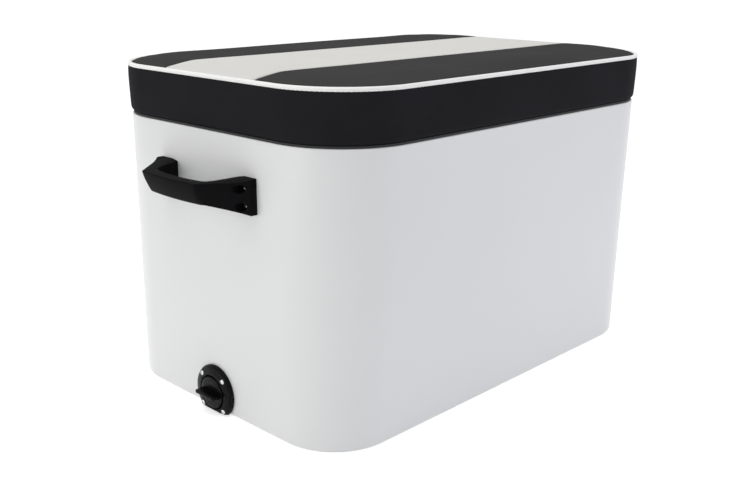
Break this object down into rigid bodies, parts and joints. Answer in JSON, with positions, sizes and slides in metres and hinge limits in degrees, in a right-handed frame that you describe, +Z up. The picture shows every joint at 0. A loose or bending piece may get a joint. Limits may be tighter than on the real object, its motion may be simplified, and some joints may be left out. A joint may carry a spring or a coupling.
{
  "type": "fishing seat box",
  "caption": "Moulded fishing seat box with a hinged upholstered seat lid, a carry handle on each end and a threaded drain plug low on one end.",
  "frame": {"origin": "middle of the underside of the box, where it stands on the floor", "axes": "+X along the length, away from the end with the drain plug; +Y across, towards the hinges; +Z up"},
  "size_m": [0.6458, 0.3845, 0.3595],
  "materials": {
    "gelcoat_white": "gloss",
    "seal_rubber": "matt",
    "board_wood": "raw",
    "foam": "open cell",
    "vinyl_black": "grained satin",
    "vinyl_white": "grained satin",
    "piping_white": "satin",
    "stainless": "bright",
    "liner_plastic": "matt",
    "handle_nylon": "fine textured satin",
    "drain_plastic": "gloss"
  },
  "bodies": {
    "box": {"box_shell": "gelcoat_white", "rim_seal_main": "seal_rubber", "rim_seal_rear": "seal_rubber", "hinge_left_box_leaf": "stainless", "hinge_left_pin": "stainless", "hinge_right_box_leaf": "stainless", "hinge_right_pin": "stainless", "hinge_box_screws": "stainless", "hinge_box_nuts": "stainless", "end_handle_left": "handle_nylon", "handle_left_screws": "stainless", "handle_left_washers": "stainless", "handle_left_nuts": "stainless", "end_handle_right": "handle_nylon", "handle_right_screws": "stainless", "handle_right_washers": "stainless", "handle_right_nuts": "stainless", "drain_socket": "drain_plastic", "drain_gasket": "seal_rubber", "drain_screws": "stainless"},
    "lid": {"lid_board": "board_wood", "cushion_foam": "foam", "side_band": "vinyl_black", "top_piping": "piping_white", "top_panel_front": "vinyl_black", "top_panel_centre": "vinyl_white", "top_panel_rear": "vinyl_black", "cover_staples": "stainless", "lid_liner": "liner_plastic", "liner_screws": "stainless", "hinge_left_lid_leaf": "stainless", "hinge_right_lid_leaf": "stainless", "hinge_lid_screws": "stainless"},
    "plug_seal": {"drain_plug_seal": "seal_rubber"},
    "plug": {"drain_plug": "drain_plastic"}
  },
  "joints": [
    {"name": "lid_hinge", "type": "hinge", "parent": "box", "child": "lid", "pos_m": [0, 0.1915, 0.30075], "axis": [-1, 0, 0], "range_deg": [0, 180]},
    {"name": "plug_draw", "type": "slide", "parent": "box", "child": "plug_seal", "axis": [-1, 0, -0.005], "range_m": [0, 0.0181]},
    {"name": "plug_turn", "type": "hinge", "parent": "plug_seal", "child": "plug", "pos_m": [-0.27111, 0, 0.022], "axis": [-1, 0, -0.005], "range_deg": [0, 2160]}
  ],
  "couplings": [
    {"joint": "plug_draw", "follows": "plug_turn", "m_per_rad": 0.00047746}
  ]
}
